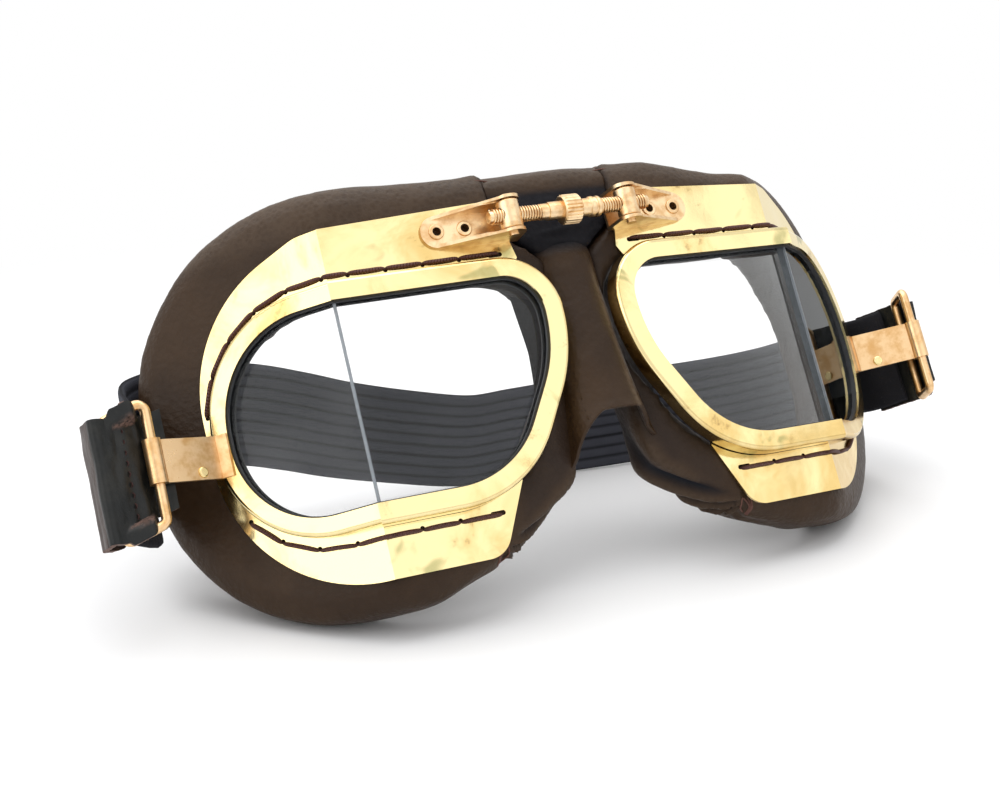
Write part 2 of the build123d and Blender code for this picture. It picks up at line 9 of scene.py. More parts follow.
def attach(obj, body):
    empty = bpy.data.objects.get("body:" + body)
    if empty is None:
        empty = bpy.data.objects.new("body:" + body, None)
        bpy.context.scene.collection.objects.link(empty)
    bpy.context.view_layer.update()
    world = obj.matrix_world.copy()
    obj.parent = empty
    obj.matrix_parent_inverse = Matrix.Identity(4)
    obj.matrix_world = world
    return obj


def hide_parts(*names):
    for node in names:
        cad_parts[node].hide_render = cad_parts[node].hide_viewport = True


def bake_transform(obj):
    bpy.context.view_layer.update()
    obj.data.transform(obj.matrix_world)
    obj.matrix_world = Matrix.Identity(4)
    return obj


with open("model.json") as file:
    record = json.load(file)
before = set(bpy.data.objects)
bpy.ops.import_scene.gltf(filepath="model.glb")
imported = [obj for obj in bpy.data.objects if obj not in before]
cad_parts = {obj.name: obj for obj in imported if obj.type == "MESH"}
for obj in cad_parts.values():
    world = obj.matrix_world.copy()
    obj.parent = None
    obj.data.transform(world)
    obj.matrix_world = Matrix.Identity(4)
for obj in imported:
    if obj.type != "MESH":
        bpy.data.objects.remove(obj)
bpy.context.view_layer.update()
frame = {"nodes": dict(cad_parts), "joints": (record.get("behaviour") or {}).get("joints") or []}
bpy.context.scene.view_settings.view_transform = "Standard"


# A close view from the wearer's right, a little above, with a short telephoto lens. It keeps its
# place from the screw adjuster, the piece in the middle of the picture.
camera_back = Vector((-0.17007, -0.31305, 0.07694))
camera_tilt = math.radians(71)
camera_turn = math.radians(-26)
joints = {joint["name"]: joint for joint in frame["joints"]}
hinge_left = Vector(joints["eye_turn_left"]["pos_m"])
hinge_right = Vector(joints["eye_turn_right"]["pos_m"])
adjuster_middle = (hinge_left + hinge_right) / 2

bpy.ops.object.camera_add(location=adjuster_middle + camera_back, rotation=(camera_tilt, 0, camera_turn))
camera = bpy.context.object
camera.data.sensor_width = 36
camera.data.lens = 57.6
camera.data.clip_start = 0.01
bpy.context.scene.camera = camera


# A sheet of white paper that fades to plain white away from the goggles, very large soft lights
# overhead, in front and to the left, and a room that is pale above and dark near the floor. What
# is seen beyond the paper, straight, through glass or mirrored in brass, is plain white.
class Mask:
    """A shader socket that takes part in plain arithmetic."""

    def __init__(self, shading, socket):
        self.shading = shading
        self.socket = socket

    def maths(self, operation, *values):
        return self.shading.node("ShaderNodeMath", {"operation": operation}, dict(enumerate(values)))

    def __add__(self, other):
        return self.maths("ADD", self, other)

    __radd__ = __add__

    def __sub__(self, other):
        return self.maths("SUBTRACT", self, other)

    def __rsub__(self, other):
        return self.maths("SUBTRACT", other, self)

    def __mul__(self, other):
        return self.maths("MULTIPLY", self, other)

    __rmul__ = __mul__

    def __pow__(self, other):
        return self.maths("POWER", self, other)

    def __rpow__(self, other):
        return self.maths("POWER", other, self)

    def sine(self):
        return self.maths("SINE", self)

    def most(self, other):
        return self.maths("MAXIMUM", self, other)

    def between(self, low, high):
        """0 below low, 1 above high, smooth in between."""
        return self.shading.node("ShaderNodeMapRange", {"interpolation_type": "SMOOTHSTEP"},
                                 {"Value": self, "From Min": low, "From Max": high})


class Shading:
    """A tree of shader nodes."""

    def __init__(self, tree):
        self.tree = tree

    def node(self, kind, settings, inputs, output=0):
        """A new node: its settings first, then the values or links of its sockets."""
        made = self.tree.nodes.new(kind)
        for setting, value in settings.items():
            if setting == "stops":
                stops = made.color_ramp.elements
                while len(stops) < len(value):
                    stops.new(1)
                for stop, (position, grey) in zip(stops, value):
                    stop.position = position
                    stop.color = (grey, grey, grey, 1)
            else:
                setattr(made, setting, value)
        for key, value in inputs.items():
            if isinstance(value, Mask):
                self.tree.links.new(value.socket, made.inputs[key])
            else:
                made.inputs[key].default_value = value
        return Mask(self, made.outputs[output])

    def axis(self, name, place):
        return self.node("ShaderNodeSeparateXYZ", {}, {0: place}, name)

    def mix(self, mask, first, second):
        first = first if isinstance(first, Mask) else (*first, 1)
        second = second if isinstance(second, Mask) else (*second, 1)
        return self.node("ShaderNodeMix", {"data_type": "RGBA"}, {"Factor": mask, 6: first, 7: second}, 2)

    def background(self):
        """1 for what the camera sees straight, through glass or mirrored, and 0 for the light."""
        straight, through, mirrored = (self.node("ShaderNodeLightPath", {}, {}, "Is " + kind + " Ray")
                                       for kind in ("Camera", "Transmission", "Glossy"))
        return straight.most(through).most(mirrored)


class Finish(Shading):
    """One material with a Principled surface."""

    def __init__(self, name):
        self.material = bpy.data.materials.new(name)
        self.material.use_nodes = True
        super().__init__(self.material.node_tree)
        self.surface = self.tree.nodes["Principled BSDF"]
        self.place = self.node("ShaderNodeTexCoord", {}, {}, "Object")

    def noise(self, scale, detail=3.0, rough=0.55, distortion=0.0):
        return self.node("ShaderNodeTexNoise", {}, {"Vector": self.place, "Scale": scale, "Detail": detail,
                                                    "Roughness": rough, "Distortion": distortion})

    def cells(self, scale):
        return self.node("ShaderNodeTexVoronoi", {}, {"Vector": self.place, "Scale": scale}, "Distance")

    def painted(self, name):
        """What was painted on the piece's points under this name."""
        return self.node("ShaderNodeAttribute", {"attribute_name": name}, {}, "Fac")

    def bump(self, height, distance, strength=1.0, under=None):
        inputs = {"Height": height, "Distance": distance, "Strength": strength}
        if under:
            inputs["Normal"] = under
        return self.node("ShaderNodeBump", {}, inputs)

    def set(self, **sockets):
        for key, value in sockets.items():
            socket = self.surface.inputs[key.replace("_", " ")]
            if isinstance(value, Mask):
                self.tree.links.new(value.socket, socket)
            elif isinstance(value, tuple):
                socket.default_value = (*value, 1)
            else:
                socket.default_value = value


floor_size = 8
paper_white = (0.92, 0.92, 0.925)
shadow_reach = 0.12
shadow_end = 0.34
room_greys = ((0.04, 0.10), (0.22, 0.50), (0.36, 0.62), (0.44, 0.26), (0.50, 0.30), (0.58, 0.85), (1.0, 0.85))
goggles_middle = Vector((0, 0, 0.04))

bpy.ops.mesh.primitive_plane_add(size=floor_size)
floor = bpy.context.object
floor.name = "floor"
paper = Finish("white_paper")
paper.set(Base_Color=paper_white, Roughness=0.9, Specular_IOR_Level=0.2)
paper_x = paper.axis("X", paper.place)
paper_y = paper.axis("Y", paper.place)
away = ((paper_x * paper_x + paper_y * paper_y) ** 0.5).between(shadow_reach, shadow_end)
plain_white = paper.node("ShaderNodeEmission", {}, {"Strength": 1.0})
lit_paper = Mask(paper, paper.surface.outputs[0])
sheet = paper.node("ShaderNodeMixShader", {}, {0: away * paper.background(), 1: lit_paper, 2: plain_white})
paper.tree.links.new(sheet.socket, paper.tree.nodes["Material Output"].inputs["Surface"])
floor.data.materials.append(paper.material)

room = bpy.data.worlds.new("room")
bpy.context.scene.world = room
room.use_nodes = True
air = Shading(room.node_tree)
height = air.axis("Z", air.node("ShaderNodeTexCoord", {}, {}, "Generated"))
room_grey = air.node("ShaderNodeValToRGB", {"stops": room_greys}, {"Fac": height})
backing = air.tree.nodes["Background"]
air.tree.links.new(air.mix(air.background(), room_grey, (1, 1, 1)).socket, backing.inputs["Color"])
backing.inputs["Strength"].default_value = 1.0


def soft_light(name, place, size, power):
    """A square light that faces the goggles."""
    turn = (goggles_middle - Vector(place)).to_track_quat("-Z", "Y").to_euler()
    bpy.ops.object.light_add(type="AREA", location=place, rotation=turn)
    lamp = bpy.context.object
    lamp.name = name
    lamp.data.size = size
    lamp.data.energy = power


soft_light("overhead_light", (-0.1, 0.35, 1.2), 1.7, 14.0)
soft_light("front_light", (0.55, -1.15, 1.06), 1.5, 3.0)
soft_light("left_light", (-1.3, -0.35, 0.75), 1.1, 4.5)


# Plates and rim covers are pressed from thin sheet and polished, so the surface is slightly
# wavy. The polish has gone warm in patches, with brown and a little green where water sat.
sides = ("left", "right")
pale_brass = (0.88, 0.73, 0.38)
warm_brass = (0.64, 0.42, 0.13)
brown_tarnish = (0.26, 0.14, 0.05)
green_tarnish = (0.24, 0.26, 0.10)

plate = Finish("polished_brass")
waves = plate.noise(38, 1.5)
patches = plate.noise(62, 4, 0.6, distortion=0.6)
specks = plate.noise(420, 3, 0.7)
warm = (patches * 0.5 + plate.noise(24, 2, 0.5, distortion=0.4) * 0.5).between(0.46, 0.62)
brown = (patches * 0.75 + specks * 0.25).between(0.58, 0.70)
green = plate.noise(80, 3, 0.6, distortion=0.5).between(0.62, 0.72) * 0.6
colour = plate.mix(warm * 0.75, pale_brass, warm_brass)
colour = plate.mix(brown * 0.8, colour, brown_tarnish)
colour = plate.mix(green, colour, green_tarnish)
wavy = plate.bump(waves, 0.0022, 0.5)
plate.set(Base_Color=colour, Metallic=1.0, Normal=plate.bump(specks, 0.00004, 0.4, wavy),
          Roughness=brown * 0.25 + warm * 0.05 + specks * 0.12 + 0.06)


def dress(finish, *nodes):
    """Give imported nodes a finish."""
    for node in nodes:
        mesh = frame["nodes"][node].data
        mesh.materials.clear()
        mesh.materials.append(finish.material)


for side in sides:
    dress(plate, "base_plate_" + side, "rim_cover_" + side, "temple_rivet_" + side)


# The adjuster's sleeve, its wheel and the cross nuts are turned and the nose brackets are pressed,
# all in gilding metal, redder and duller than the plates. Two tubular eyelets hold each bracket.
rose_brass = (0.88, 0.66, 0.40)
dull_rose = (0.68, 0.43, 0.21)
fitting = Finish("rose_brass")
handled = fitting.noise(260, 4, 0.65)
turned = fitting.noise(900, 2, 0.5)
colour = fitting.mix(handled.between(0.42, 0.66), rose_brass, dull_rose)
fitting.set(Base_Color=colour, Metallic=1.0, Roughness=handled * 0.22 + 0.20,
            Normal=fitting.bump(turned, 0.00002, 0.25))
for side in sides:
    dress(fitting, "trunnion_" + side, "nose_bracket_" + side, "bracket_eyelets_" + side)
dress(fitting, "adjuster_sleeve", "thumbwheel")


# Two threaded rods stand out of the sleeve, right-handed on one side and left-handed on the
# other, so that turning the wheel draws both nuts in. The thread is rolled, with rounded crests.
thread_pitch = 0.66
thread_crest = 1.8
thread_root = 1.36
thread_start = 7.75
thread_end = 20.1
ridge_radius = thread_pitch * 0.42
ridge_shape = (0.9, 1, 0.8)
core_start = 3.8
core_end = 20.3
core_radius = thread_root + 0.05
core_bevel = 0.25

# The goggles lean back on their pads. Every piece is drawn as worn, in millimetres: X to the right,
# Y back to the face, Z up, from the middle of the screw adjuster.
MM = 0.001
lean_back = math.radians(32.3)
worn = Matrix.Translation(adjuster_middle) @ Matrix.Rotation(-lean_back, 4, "X") @ Matrix.Scale(MM, 4)
worn_side = {"right": worn, "left": worn @ Matrix.Scale(-1, 4, (1, 0, 0))}


def alone(piece):
    """Select one piece and nothing else."""
    bpy.ops.object.select_all(action="DESELECT")
    piece.select_set(True)
    bpy.context.view_layer.objects.active = piece


def new_piece(name):
    """The primitive that was just added, named."""
    piece = bpy.context.object
    piece.name = piece.data.name = name
    return piece


def finish_with(piece, kind, **settings):
    """Add a modifier and apply it."""
    alone(piece)
    bpy.ops.object.modifier_add(type=kind)
    modifier = piece.modifiers[-1]
    for setting, value in settings.items():
        setattr(modifier, setting, value)
    bpy.ops.object.modifier_apply(modifier=modifier.name)


def join(pieces, name, finish):
    """Make one piece of several, in one finish."""
    alone(pieces[0])
    for piece in pieces:
        piece.select_set(True)
    bpy.ops.object.join()
    joined = new_piece(name)
    joined.data.materials.clear()
    joined.data.materials.append(finish.material)
    return joined


def edit(piece, *steps):
    """Run edit-mode operators on the whole piece; a step is an operator and its settings."""
    alone(piece)
    bpy.ops.object.mode_set(mode="EDIT")
    bpy.ops.mesh.select_all(action="SELECT")
    for operator, settings in steps:
        operator(**settings)
    bpy.ops.object.mode_set(mode="OBJECT")


def smooth(piece, angle=35):
    """Shade smooth, but for edges sharper than the angle."""
    alone(piece)
    bpy.ops.object.shade_smooth_by_angle(angle=math.radians(angle))


def settle(piece, place):
    """Put the drawn mesh in its place, with the object left at the origin."""
    piece.data.transform(piece.matrix_basis)
    piece.matrix_basis = Matrix.Identity(4)
    piece.data.transform(place)
    if place.determinant() < 0:
        piece.data.flip_normals()


for side in sides:
    ridge_middle = (thread_start, 0, (thread_crest + thread_root) / 2)
    bpy.ops.object.select_all(action="DESELECT")
    bpy.ops.mesh.primitive_circle_add(vertices=8, radius=ridge_radius, fill_type="NOTHING",
                                      location=ridge_middle)
    helix = new_piece("thread_ridge")
    bpy.ops.object.transform_apply(rotation=False, scale=False)
    edit(helix, (bpy.ops.transform.rotate, dict(value=math.pi / 2, orient_axis="X",
                                                center_override=ridge_middle)),
         (bpy.ops.transform.resize, dict(value=ridge_shape, center_override=ridge_middle)))
    turns = int((thread_end - thread_start) / thread_pitch)
    finish_with(helix, "SCREW", axis="X", angle=math.tau, screw_offset=thread_pitch, iterations=turns,
                steps=24, render_steps=24, use_smooth_shade=True)
    edit(helix, (bpy.ops.mesh.remove_doubles, dict(threshold=0.0001)),
         (bpy.ops.mesh.fill_holes, dict(sides=8)), (bpy.ops.mesh.normals_make_consistent, dict(inside=False)))
    bpy.ops.mesh.primitive_cylinder_add(vertices=32, radius=core_radius, depth=core_end - core_start,
                                        location=((core_end + core_start) / 2, 0, 0),
                                        rotation=(0, math.pi / 2, 0))
    core = new_piece("thread_core")
    bpy.ops.object.transform_apply()
    finish_with(core, "BEVEL", width=core_bevel, segments=2)
    screw = join([core, helix], "threaded_end_" + side, fitting)
    smooth(screw)
    settle(screw, worn_side[side])
    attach(screw, "adjuster")
    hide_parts("adjuster_screw_" + side)


# The strips at the temples and the wire loops of the strap are brass that was soldered and never
# polished, so it is orange brown. Each strip ends in a rolled barrel, in which its loop turns.
orange_brass = (0.84, 0.58, 0.32)
dark_orange = (0.66, 0.38, 0.15)
aged = Finish("aged_brass")
stain = aged.noise(210, 4, 0.65)
pits = aged.noise(1300, 3, 0.6)
aged.set(Base_Color=aged.mix(stain.between(0.40, 0.68), orange_brass, dark_orange), Metallic=1.0,
         Roughness=stain * 0.3 + 0.18, Normal=aged.bump(pits, 0.00002, 0.35))
for side in sides:
    dress(aged, "temple_bracket_" + side, "wire_loop_" + side)


# Four flat panes of plate glass, held in a black rubber channel. The two panes of each eye meet
# at ground bevels, which show as a pair of grey lines.
pane_front = 3.1
pane_bend = math.radians(36)
bend_x = 43.9
bend_y = 1.9
edge_match = 0.97
bevel_gap = 0.16
bevel_width = 0.6
bevel_depth = 0.06
bevel_skin = 0.04
bevel_top = -13.0
bevel_bottom = -57.8

# Each eye frame is drawn flat from its own hinge and bent back at the line where its panes meet.
wrap_round = math.radians(3.4)
hinge_offset = 15.0
eye_frame = {side: worn_side[side] @ Matrix.Translation((hinge_offset, 0, 0))
             @ Matrix.Rotation(wrap_round, 4, "Z") for side in sides}
side_pane = (Matrix.Translation((bend_x, bend_y, 0)) @ Matrix.Rotation(pane_bend, 4, "Z")
             @ Matrix.Translation((-bend_x, -bend_y, 0)))
half_bend = Vector((math.cos(pane_bend / 2), math.sin(pane_bend / 2), 0))


def meeting_line(deep):
    """Where the two panes of an eye meet, at this depth."""
    return bend_x - (deep - bend_y) * math.tan(pane_bend / 2)


def on_eye(side, x, y, z):
    """A point drawn on the flat-laid eye frame, in its place."""
    drawn = Vector((x, y, z))
    return eye_frame[side] @ (side_pane @ drawn if x > meeting_line(y) else drawn)


glass = Finish("plate_glass")
gleam = glass.node("ShaderNodeFresnel", {}, {"IOR": 1.5})
dusty = glass.noise(30, 3).between(0.45, 0.75)
glass.set(Base_Color=(0.95, 0.97, 0.97), Metallic=1.0, Roughness=0.015,
          Alpha=gleam ** 1.5 * 1.15 + dusty * 0.008 + 0.004)
ground = Finish("ground_edge")
ground.set(Base_Color=(0.30, 0.33, 0.36), Roughness=0.35, Alpha=ground.noise(600, 2) * 0.4 + 0.45,
           Normal=ground.bump(ground.noise(2500), 0.00005, 0.4))
rubber = Finish("gasket_rubber")
rubber.set(Base_Color=(0.012, 0.013, 0.016), Roughness=rubber.noise(300) * 0.2 + 0.45,
           Normal=rubber.bump(rubber.noise(2200), 0.00005, 0.5))
for side in sides:
    dress(rubber, "lens_gasket_" + side)
    edge_faces = (eye_frame[side].to_3x3() @ half_bend).normalized()
    for node in ("lens_front_" + side, "lens_side_" + side):
        dress(glass, node)
        pane = frame["nodes"][node].data
        pane.materials.append(ground.material)
        for face in pane.polygons:
            face.material_index = int(abs(face.normal.dot(edge_faces)) > edge_match)


def grid(name, columns, rows):
    """A flat grid from -1 to 1, as a start."""
    bpy.ops.object.select_all(action="DESELECT")
    bpy.ops.mesh.primitive_grid_add(x_subdivisions=columns, y_subdivisions=rows, size=2, calc_uvs=True)
    return new_piece(name)


for side in sides:
    bevels = []
    for turn in (-1, 1):
        bevel = grid("bevel", 2, 24)
        for vertex in bevel.data.vertices:
            out = turn * (bevel_gap + (vertex.co.x + 1) / 2 * bevel_width)
            level = bevel_bottom + (bevel_top - bevel_bottom) * (vertex.co.y + 1) / 2
            vertex.co = on_eye(side, meeting_line(pane_front) + out, pane_front - bevel_depth, level)
        bevels.append(bevel)
    bevels = join(bevels, "ground_bevels_" + side, ground)
    finish_with(bevels, "SOLIDIFY", thickness=bevel_skin * MM, offset=0)
    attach(bevels, "eye_" + side)


# A waxed thread of dark red brown runs from hole to hole round each frame and holds the leather
# behind the flange. It stands a little off the brass and sinks at every hole.
lace_radius = 0.5
lace_pitch = 8.5
lace_from = (3.3, -6.8)
lace_to = (17.0, -64.0)
lace_temple = 79.8
lace_top_radius = 27.9
lace_bottom_radius = 26.9
lace_skip = 9.5
lace_slack = 0.12
lace_inset = 0.35
lace_end_reach = 1.0
lace_sinks = ((0.0, 1.3), (0.01, 0.6), (0.07, -0.45), (0.5, -0.6), (0.93, -0.45), (0.99, 0.6), (1.0, 1.3))
temple_level = -38.8
flange_front = 6.0

lace_top = lace_temple - lace_top_radius - lace_from[0]
lace_top_turn = lace_top_radius * math.pi / 2
lace_side = lace_from[1] - lace_to[1] - lace_top_radius - lace_bottom_radius
lace_bottom_turn = lace_bottom_radius * math.pi / 2
lace_bottom = lace_temple - lace_bottom_radius - lace_to[0]
lace_length = lace_top + lace_top_turn + lace_side + lace_bottom_turn + lace_bottom
lace_count = round(lace_length / lace_pitch)

waxed = Finish("waxed_thread")
ply = waxed.noise(900, 2)
along_thread = waxed.node("ShaderNodeUVMap", {}, {})
twist = (waxed.axis("X", along_thread) * 160 + waxed.axis("Y", along_thread) * math.tau).sine()
waxed.set(Base_Color=waxed.mix(ply, (0.055, 0.014, 0.011), (0.105, 0.032, 0.025)), Roughness=0.55,
          Normal=waxed.bump(twist, 0.00012, 0.9))


def lace_hole(distance):
    """A flat-laid place along the line of holes."""
    if distance < lace_top:
        return lace_from[0] + distance, lace_from[1]
    distance -= lace_top
    if distance < lace_top_turn:
        turn = distance / lace_top_radius
        return (lace_temple - lace_top_radius * (1 - math.sin(turn)),
                lace_from[1] - lace_top_radius * (1 - math.cos(turn)))
    distance -= lace_top_turn
    if distance < lace_side:
        return lace_temple, lace_from[1] - lace_top_radius - distance
    distance -= lace_side
    if distance < lace_bottom_turn:
        turn = distance / lace_bottom_radius
        return (lace_temple - lace_bottom_radius * (1 - math.cos(turn)),
                lace_to[1] + lace_bottom_radius * (1 - math.sin(turn)))
    return lace_temple - lace_bottom_radius - (distance - lace_bottom_turn), lace_to[1]


def thread(name, places, radius, resolution=4, ends=1.0):
    """A round thread through places in the scene, as a mesh."""
    bpy.ops.object.select_all(action="DESELECT")
    bpy.ops.curve.primitive_nurbs_path_add()
    strand = new_piece(name)
    strand.data.splines.clear()
    spline = strand.data.splines.new("NURBS")
    spline.points.add(len(places) - 1)
    for point, place in zip(spline.points, places):
        point.co = (*place, 1)
        point.radius = 1.0
    for end in (0, 1, -2, -1):
        spline.points[end].radius = ends
    spline.order_u = 3
    spline.use_endpoint_u = True
    spline.resolution_u = resolution
    strand.data.dimensions = "3D"
    strand.data.bevel_depth = radius
    strand.data.bevel_resolution = 2
    strand.data.use_fill_caps = True
    bpy.ops.object.convert(target="MESH")
    return new_piece(name)


for side in sides:
    strands = []
    for index in range(lace_count):
        ends = [lace_hole(lace_length * step / lace_count) for step in (index, index + 1)]
        if any(abs(z - temple_level) <= lace_skip for x, z in ends):
            continue
        (ax, az), (bx, bz) = ends
        ax -= lace_end_reach * (index == 0)
        bx -= lace_end_reach * (index == lace_count - 1)
        across = Vector((bz - az, ax - bx)).normalized()
        slack = lace_slack + lace_slack * noise.noise(Vector((index * 1.7, ord(side[0]), 0)))
        stretch = []
        for share, sink in lace_sinks:
            bow = 4 * share * (1 - share) * slack - lace_inset
            stretch.append(on_eye(side, ax + (bx - ax) * share + across.x * bow, flange_front + sink,
                                  az + (bz - az) * share + across.y * bow))
        strands.append(thread("lace", stretch, lace_radius * MM, ends=0.55))
    lacing = join(strands, "lacing_" + side, waxed)
    smooth(lacing, 60)
    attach(lacing, "eye_" + side)


# Thin brown leather sewn round a roll of sponge rubber, laced to the back of each frame. It is
# gathered at a seam over each hinge and at one under the nose corner, and soft folds fan out
# from both. It is cut a little big for its sponge, so it swells between the seams.
pad_front = 6.7
pad_held = (0.8, 4.0)
pad_loose = (0.6, 3.5)
wall_held = (1.2, 4.0)
wall_top = (-2, 2)
roll_top = (2, 8)
pad_seam = (0.9, 13.5)
toe_seam = (17.0, -73.0)
pad_voxel = 1.7
pad_bumps = ((16, 0.0, 0.35), (6, 9.0, 0.12))
pad_swell = 1.0
pad_reach = 1.5
pad_pressure = 5.0
sponge_gap = 0.5
cloth_steps = 20
gather_reach = 6.0
gather_height = 0.4
pinch_width = 0.9
pinch_depth = 0.5
trough_turns = (0.30, 0.66, 1.02, 1.34)
trough_width = 0.09
crest_turns = (0.12, 0.48, 0.84, 1.18)
crest_width = 0.12
fold_height = 1.5
fold_reach = (18, 17)
flank_across = (-1.0, 3.0)
flank_up = (-40, -28)
tack_width = 1.0
tack_depth = 0.9
tack_up = (-64, -60)
tack_deep = (15, 19)
below_width = 7
below_up = (-70, -64)
inner_up = (-9, -4)
inner_across = (8, 14)
leather_grain = 0.00034

leather = Finish("brown_leather")
hide = leather.noise(45, 4, 0.6)
grain = leather.cells(800) * 0.6 + leather.noise(700, 3, 0.6) * 0.4
pores = leather.noise(2600, 2, 0.6)
dusk = leather.painted("dusk")
rubbed = leather.painted("rubbed")
colour = leather.mix(hide.between(0.35, 0.68), (0.028, 0.014, 0.006), (0.046, 0.025, 0.012))
# Painted highlight, with rub wear: lighter, broken up by the grain, on the tops of the rolls, the crests of
# their folds and the saddle's right shoulder.
colour = leather.mix(rubbed * (grain.between(0.25, 0.65) * 0.45 + 0.4), colour, (0.130, 0.092, 0.064))
# Painted shade: near black wherever the pieces are painted with it, in the troughs of folds, in seam grooves,
# on the inner side by the nose, on the web under the adjuster and on the saddle's flanks going back.
colour = leather.mix(dusk, colour, (0.006, 0.007, 0.011))
creased = leather.bump(leather.noise(170, 3, 0.6, distortion=0.8), 0.0009, 0.25)
leather.set(Base_Color=colour, Specular_IOR_Level=0.20,
            Roughness=hide * 0.14 + grain * 0.20 + dusk * 0.35 + 0.27,
            Normal=leather.bump(grain * 0.7 + pores * 0.3, leather_grain, 0.75, creased))


def copy_of(node, name):
    """A soft piece that starts as its solid, with the loose triangles joined."""
    piece = bpy.data.objects.new(name, frame["nodes"][node].data.copy())
    bpy.context.collection.objects.link(piece)
    piece.data.materials.clear()
    edit(piece, (bpy.ops.mesh.remove_doubles, dict(threshold=0.00002)))
    return piece


def places_of(piece):
    """Where the points of a piece are, one to a row."""
    places = np.empty(len(piece.data.vertices) * 3)
    piece.data.vertices.foreach_get("co", places)
    return places.reshape(-1, 3)


def normals_of(piece):
    return np.array([vertex.normal[:] for vertex in piece.data.vertices])


def move_to(piece, places):
    piece.data.vertices.foreach_set("co", places.ravel())
    piece.data.update()


def carried(matrix, places):
    """The same points, moved by a matrix."""
    turn = np.array(matrix)
    return places @ turn[:3, :3].T + turn[:3, 3]


def laid_flat(side, places):
    """Where the points of a piece lie on the flat-laid eye frame, in millimetres."""
    drawn = carried(eye_frame[side].inverted(), places)
    mitre = ((drawn[:, 0] - bend_x) * math.cos(pane_bend / 2)
             + (drawn[:, 1] - bend_y) * math.sin(pane_bend / 2))
    return np.where(mitre[:, None] > 0, carried(side_pane.inverted(), drawn), drawn)


def ramp(value, low, high):
    """0 below low, 1 above high, smooth in between."""
    share = np.clip((value - low) / (high - low), 0, 1)
    return share * share * (3 - 2 * share)


def hill(value, middle, width):
    """1 at the middle, falling off within about the width."""
    return np.exp(-((value - middle) / width) ** 2)


def waver(x, y, z):
    """Smooth noise, from -1 to 1, at places given by their columns."""
    return np.array([noise.noise(Vector(place)) for place in zip(*np.broadcast_arrays(x, y, z))])


def rumple(places, size, seed):
    """Smooth bumps of about the given size, in millimetres, from -1 to 1."""
    x, y, z = places.T / (size * MM)
    return waver(x + seed, y, z)


def stuff(piece, laced, swell, reach):
    """Shrink the skin over its sponge, then let cloth pressure swell it between its seams."""
    start = places_of(piece)
    free = 1 - laced
    move_to(piece, start - normals_of(piece) * free[:, None] * sponge_gap * MM)
    group = piece.vertex_groups.new(name="laced")
    for index, share in enumerate(laced):
        if share > 0.01:
            group.add([index], float(share), "REPLACE")
    alone(piece)
    bpy.ops.object.modifier_add(type="CLOTH")
    cloth = piece.modifiers[-1]
    cloth.settings.vertex_group_mass = "laced"
    cloth.settings.use_pressure = True
    cloth.settings.uniform_pressure_force = swell
    cloth.settings.effector_weights.gravity = 0
    cloth.settings.quality = 5
    for step in range(1, cloth_steps + 1):
        bpy.context.scene.frame_set(step)
    bpy.ops.object.modifier_apply(modifier=cloth.name)
    bpy.context.scene.frame_set(1)
    moved = places_of(piece) - start
    length = np.linalg.norm(moved, axis=1, keepdims=True)
    move_to(piece, start + moved * np.minimum(1, reach * MM / np.maximum(length, 1e-9)))


def raise_skin(piece, height):
    """Move the skin out along its normals by so many millimetres."""
    move_to(piece, places_of(piece) + normals_of(piece) * height[:, None] * MM)


def paint(piece, name, shares):
    """Keep a share on each point, for the material to read."""
    attribute = piece.data.attributes.new(name, "FLOAT", "POINT")
    attribute.data.foreach_set("value", np.clip(shares, 0, 1).astype(np.float32))


def cut_between(piece, name, low, high):
    """The part of a piece between two upright planes across the goggles, as its own piece."""
    part = bpy.data.objects.new(name, piece.data.copy())
    bpy.context.collection.objects.link(part)
    for place, outer in ((low, False), (high, True)):
        if place is None:
            continue
        edit(part, (bpy.ops.mesh.bisect, dict(plane_co=(place, 0, 0), plane_no=(1, 0, 0), use_fill=True,
                                              clear_outer=outer, clear_inner=not outer)))
    smooth(part, 50)
    return part


